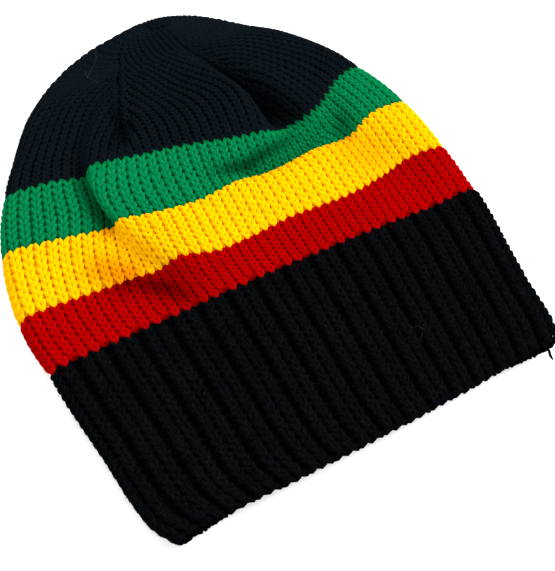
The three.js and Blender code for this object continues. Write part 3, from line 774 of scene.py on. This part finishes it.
def rib_lifted(stitch, at, out):
    """0 in the valleys of the ribs, 1 along their ridges; the valleys get painted shade."""
    valley = 1 - in_light(out, RIB_LIT)
    return 1 - valley * rib_share(at)


def rib_furrow(row):
    return 0.0


def purl_tuck(stitch):
    """The feet of the first red row go deeper behind the purl columns."""
    return FOOT_TUCK + PURL_TUCK * np.exp(-(from_purl(stitch) / PURL_TUCK_WIDE) ** 2)


def band_rise(row):
    return row / BAND_ROWS


def brim_edge():
    """Two strands twisted round each other that hold the first loops."""
    stitch = np.arange(0, STITCHES_ROUND, 1 / 8)
    parts = []
    for start in (0, np.pi):
        turn = 2 * np.pi * stitch + start
        at = np.full_like(stitch, BRIM_PLACE)
        here, outward, _, along, _ = wall_frame(stitch, at)
        out = rib_relief(stitch, at) * 0.8 + BRIM_OUT + BRIM_TWIST_OUT * np.cos(turn)
        centre = here + outward * out[:, None] + along * (BRIM_TWIST_ALONG * np.sin(turn))[:, None]
        parts.append(closed_ring(centre, outward, BRIM_STRAND))
    return parts


# The loose end of yarn: the stitch it leaves at, its points from there, its radii and its least height
TAIL_STITCH, TAIL_LOWEST = 45.5, 0.7
TAIL_POINTS = np.array([(0, 1.6, 0.0), (0, -0.3, 0.6), (0.3, -2.2, 0.2), (0.9, -4.2, -0.8),
                        (0.7, -6.0, -2.2), (1.4, -7.8, -3.6)])
TAIL_RADII = (0.6, 0.65, 0.6, 0.65, 0.7, 0.4)


def yarn_tail():
    """The loose end of yarn at the right corner of the brim."""
    corner = wall_frame(np.array([TAIL_STITCH]), np.array([0.0]))[0][0]
    points = corner + TAIL_POINTS
    points[:, 2] = np.maximum(points[:, 2], TAIL_LOWEST)
    return strand(points, TAIL_RADII)


for name, numbers, hairs in (("band_rows_lower", range(LOWER_BAND_ROWS), 9500),
                             ("band_rows_upper", range(LOWER_BAND_ROWS, BAND_ROWS), 9000)):
    at_brim = numbers[0] == 0
    first, last = band_rise(numbers[0]), band_rise(numbers[-1] + 1)
    parts = yarn_rows(numbers, band_rise, rib_columns, rib_relief, rib_reach, rib_furrow, lifted=rib_lifted,
                      heads=BAND_ROWS - 1)
    lining_end = last if at_brim else last + LINING_PAST
    parts.append(lining(first, lining_end, len(numbers), RIB_LINING_DEEP, rib_relief))
    parts.append(fibres(hairs, first, last, longest=3.2, wide=0.13, relief=rib_relief, lifted=rib_lifted))
    if at_brim:
        parts += brim_edge() + [yarn_tail()] + [lint_hair(line) for line in BAND_LINT]
    piece(name, parts, [black_yarn, linings["black"], loose_fibres["black"], lint], "rib_band")

# The three stripes: plain knit, of which the red grows out of the ribs
STRIPE_ROWS, STRIPE_LINING_DEEP, FIBRES_FROM, FIBRES_TO = 8, -0.1, 0.08, 0.95
for name, first, yarn in (("red", 1, red_yarn), ("yellow", 2, yellow_yarn), ("green", 3, green_yarn)):
    def stripe_rise(row, first=first):
        return first + row / STRIPE_ROWS

    if name == "red":
        columns, relief, tuck, bury = rib_columns, rib_relief, purl_tuck, RED_FEET_BURIED
        lining_start, start_depth = first + LINING_PAST, RIB_LINING_DEEP
    else:
        columns, relief, tuck, bury = straight_columns, None, plain_tuck, 0.0
        lining_start, start_depth = first, None
    parts = yarn_rows(range(STRIPE_ROWS), stripe_rise, columns, relief, tuck=tuck, heads=STRIPE_ROWS - 1,
                      bury=bury)
    parts.append(lining(lining_start, first + 1, STRIPE_ROWS, STRIPE_LINING_DEEP, relief, start_depth))
    parts.append(fibres(2600, first + FIBRES_FROM, first + FIBRES_TO, longest=2.6, wide=0.10))
    piece(f"{name}_rows", parts, [yarn, linings[name], loose_fibres[name]], f"{name}_stripe")

# The crown: plain rows, then four wedges of columns that end on dart lines, two on top and two underneath
DARTS = rows("at left right",
    (4.00, 15.5, 33.5), (4.33, 15.5, 33.5), (4.45, 15.6, 32.7), (4.58, 15.7, 31.8), (4.77, 14.5, 29.8),
    (4.895, 8.9, 28.8), (4.93, 3.6, 28.2), (4.96, -1.0, 27.8), (5.00, -4.0, 27.5))
DART_UNDER_LEFT, DART_UNDER_RIGHT, DARTS_FROM = -14.5, 63.5, 4.0
DART_DEEP, DART_WIDE, DART_GROWS, CROWN_LINING_DEEP = 0.8, 0.55, 0.1, 0.1
crown_places = np.linspace(4, LAST_PLACE, 99)
round_places = np.arange(0, STITCHES_ROUND, 2.0)
crown_steps = np.linalg.norm(np.diff(hat_surface(round_places[None], crown_places[:, None]), axis=0), axis=-1)
crown_run = np.concatenate([[0], np.cumsum(crown_steps.mean(axis=1))])
CROWN_ROWS = int(round(crown_run[-1] / STITCH_TALL))


def crown_rise(row):
    """The crown's rows are as tall as each other, measured on the surface."""
    return np.interp(np.asarray(row) / CROWN_ROWS * crown_run[-1], crown_run, crown_places)


def wedge_sides(at):
    """The stitches at which the four wedges meet."""
    left, right = read(DARTS, "at", "left", at), read(DARTS, "at", "right", at)
    return np.array([DART_UNDER_LEFT, left, right, DART_UNDER_RIGHT, DART_UNDER_LEFT + STITCHES_ROUND])


def wedge_widths(at):
    """How wide the four wedges are, in millimetres."""
    sides = wedge_sides(at)
    across = np.linspace(sides[:-1], sides[1:], 31)
    return np.linalg.norm(np.diff(hat_surface(across, at), axis=0), axis=-1).sum(axis=0)


# A wedge that narrows loses columns, and those that stay are knit a little tighter toward the tip
COLUMN_LOSS, MIDDLE_TIGHTER, MIDDLE_TIGHTER_OVER = 0.62, 0.06, 0.34
CROWN_GRID = np.linspace(DARTS_FROM, LAST_PLACE, 80)
SIDES_ON_GRID = np.array([wedge_sides(at) for at in CROWN_GRID]).T
widths = np.array([wedge_widths(at) for at in CROWN_GRID]).T
COLUMNS_ON_GRID = np.diff(SIDES_ON_GRID[:, :1], axis=0) * (widths / widths[:, :1]) ** COLUMN_LOSS
COLUMNS_ON_GRID[1] *= 1 - MIDDLE_TIGHTER * smooth_step((CROWN_GRID - DARTS_FROM) / MIDDLE_TIGHTER_OVER)
LAID_FROM_LEFT = np.array([True, False, False, True])


def on_grid(table, at):
    return np.stack([np.interp(at, CROWN_GRID, row) for row in table])


def crown_columns(row):
    """The columns of each wedge run beside one of its sides, and end on the dart line at the other."""
    counts = np.maximum(np.round(on_grid(COLUMNS_ON_GRID, crown_rise(row + 0.5))), 1).astype(int)
    ends = np.concatenate([[0], np.cumsum(counts)])

    def spread(place, at):
        place, at = np.broadcast_arrays(place % ends[-1], at)
        wedge = np.searchsorted(ends, place, side="right") - 1
        each = np.arange(len(place))
        sides = on_grid(SIDES_ON_GRID, at)
        left, right = sides[wedge, each], sides[wedge + 1, each]
        last = counts[wedge] - 1
        wide = (right - left) / np.maximum(on_grid(COLUMNS_ON_GRID, at)[wedge, each], last + 0.25)
        from_left = LAID_FROM_LEFT[wedge]
        steps = np.where(from_left, place - ends[wedge], ends[wedge + 1] - place)
        run = wide * np.minimum(steps, last) + (right - left - wide * last) * np.maximum(steps - last, 0)
        return np.where(from_left, left + run, right - run)
    return int(ends[-1]), spread


def dart_relief(stitch, at):
    """The knit lies back along the two dart lines on top."""
    turn = (stitch - DART_UNDER_LEFT) % STITCHES_ROUND + DART_UNDER_LEFT
    grown = smooth_step((at - DARTS_FROM) / DART_GROWS)
    fall = 0
    for side in ("left", "right"):
        fall = fall + np.exp(-((turn - read(DARTS, "at", side, at)) / DART_WIDE) ** 2)
    return -DART_DEEP * fall * grown


def crown_furrow(row):
    """The furrows between columns deepen over the crown's first rows."""
    return np.interp(row, [0, 3], [PLAIN_FURROW, 1.2])


def crown_lifted(stitch, at, out):
    return in_light(out, CROWN_LIT)


# The tip's rings of loops: how many, their reach and depth as shares of the last row's, lift and turn
ROSETTE = ((12, 0.62, 0.42, 0.2, 0.0), (8, 0.36, 0.24, 0.7, 0.4), (3, 0.10, 0.06, 1.1, 0.9))
TIP_SHIFT = np.array([0.2, 0.8, 0.3])


def drawn_tip():
    """The last loops, drawn together by the end of the yarn: a rosette of loops round a small knot."""
    stitch = np.arange(0, STITCHES_ROUND, 0.5)
    here, outward, *_ = wall_frame(stitch, np.full_like(stitch, LAST_PLACE))
    middle = here.mean(axis=0) + TIP_SHIFT
    turn = 2 * np.pi * stitch / STITCHES_ROUND
    rings = []
    for loops, reach, depth, lift, start in ROSETTE:
        share = (reach + depth * np.cos(loops * turn + start))[:, None]
        out = lift + 0.5 * np.cos(2 * loops * turn + 2 * start)
        rings.append(closed_ring(middle + (here - middle) * share + outward * out[:, None], outward, YARN))
    return rings


third = CROWN_ROWS // 3
for name, numbers, hairs in (("crown_rows_lower", range(third), 3600),
                             ("crown_rows_middle", range(third, 2 * third), 3000),
                             ("crown_rows_upper", range(2 * third, CROWN_ROWS), 2400)):
    first, last = crown_rise(numbers[0]), crown_rise(numbers[-1] + 1)
    parts = yarn_rows(numbers, crown_rise, crown_columns, dart_relief, None, crown_furrow, plain_tuck,
                      crown_lifted)
    start_depth = STRIPE_LINING_DEEP if numbers[0] == 0 else None
    parts.append(lining(first, last, 2 * len(numbers), CROWN_LINING_DEEP, start=start_depth))
    parts.append(fibres(hairs, first, last, longest=2.8, wide=0.10))
    if numbers[-1] == CROWN_ROWS - 1:
        parts += drawn_tip() + [lint_hair(line) for line in CROWN_LINT]
    piece(name, parts, [crown_yarn_painted_lighter, linings["crown"], loose_fibres["black"], lint], "crown")

# Floor, light and camera
bpy.ops.mesh.primitive_plane_add(size=6)
floor = bpy.context.object
floor.name = "floor"
floor_nodes = Nodes("floor")
floor_tone = mixed(floor_nodes, floor_nodes.noise(30.0, 2.0), rgb(0.93, 0.93, 0.92), rgb(0.95, 0.95, 0.94))
# The floor glows a little too: painted light that lifts the shadows on it and lights the hat a little from
# below
floor.data.materials.append(floor_nodes.set(
    Base_Color=floor_tone, Roughness=0.7, Specular_IOR_Level=0.2, Emission_Color=rgb(1, 1, 1),
    Emission_Strength=0.24))


def soft_light(name, place, size, power):
    """A round lamp that shines on the hat."""
    data = bpy.data.lights.new(name, "AREA")
    data.shape, data.size, data.energy = "DISK", size, power
    lamp = bpy.data.objects.new(name, data)
    lamp.location = place
    lamp.rotation_euler = (-Vector(place)).to_track_quat("-Z", "Y").to_euler()
    bpy.context.scene.collection.objects.link(lamp)


soft_light("key", (1.55, -0.15, 1.2), size=0.8, power=46)
soft_light("fill", (-1.2, -0.7, 1.5), size=1.2, power=10)
soft_light("back", (-0.1, 1.3, 1.6), size=1.2, power=13)
world = bpy.data.worlds.new("studio")
bpy.context.scene.world = world
world.use_nodes = True
world.node_tree.nodes["Background"].inputs["Color"].default_value = (1, 1, 1, 1)
world.node_tree.nodes["Background"].inputs["Strength"].default_value = 0.84

# The camera, as the photograph was taken
ELEVATION, FORWARD_FROM_X, ROLL = np.radians([59.359, 62.197, 0.723])
PIXELS_HIGH, FOCAL_PIXELS, SENSOR = 571, 638.1, 36.0
LOOKS_AT, DISTANCE = np.array([-4.256, 84.739, 9.5]), 313.644
camera_data = bpy.data.cameras.new("camera")
camera_data.sensor_fit = "AUTO"
camera_data.sensor_width = SENSOR
camera_data.lens = FOCAL_PIXELS * SENSOR / PIXELS_HIGH
camera = bpy.data.objects.new("camera", camera_data)
bpy.context.scene.collection.objects.link(camera)
ground = np.array([np.cos(FORWARD_FROM_X), np.sin(FORWARD_FROM_X), 0])
sideways = np.array([np.sin(FORWARD_FROM_X), -np.cos(FORWARD_FROM_X), 0])
forward = np.cos(ELEVATION) * ground - np.sin(ELEVATION) * np.array([0, 0, 1])
upward = np.sin(ELEVATION) * ground + np.cos(ELEVATION) * np.array([0, 0, 1])
right = np.cos(ROLL) * sideways + np.sin(ROLL) * upward
upward = -np.sin(ROLL) * sideways + np.cos(ROLL) * upward
eye = LOOKS_AT - DISTANCE * forward + TO_ORIGIN
toward = Matrix((right, upward, -forward)).transposed().to_4x4()
camera.matrix_world = Matrix.Translation(Vector(eye / 1000)) @ toward
bpy.context.scene.camera = camera
bpy.context.scene.view_settings.view_transform = "Standard"
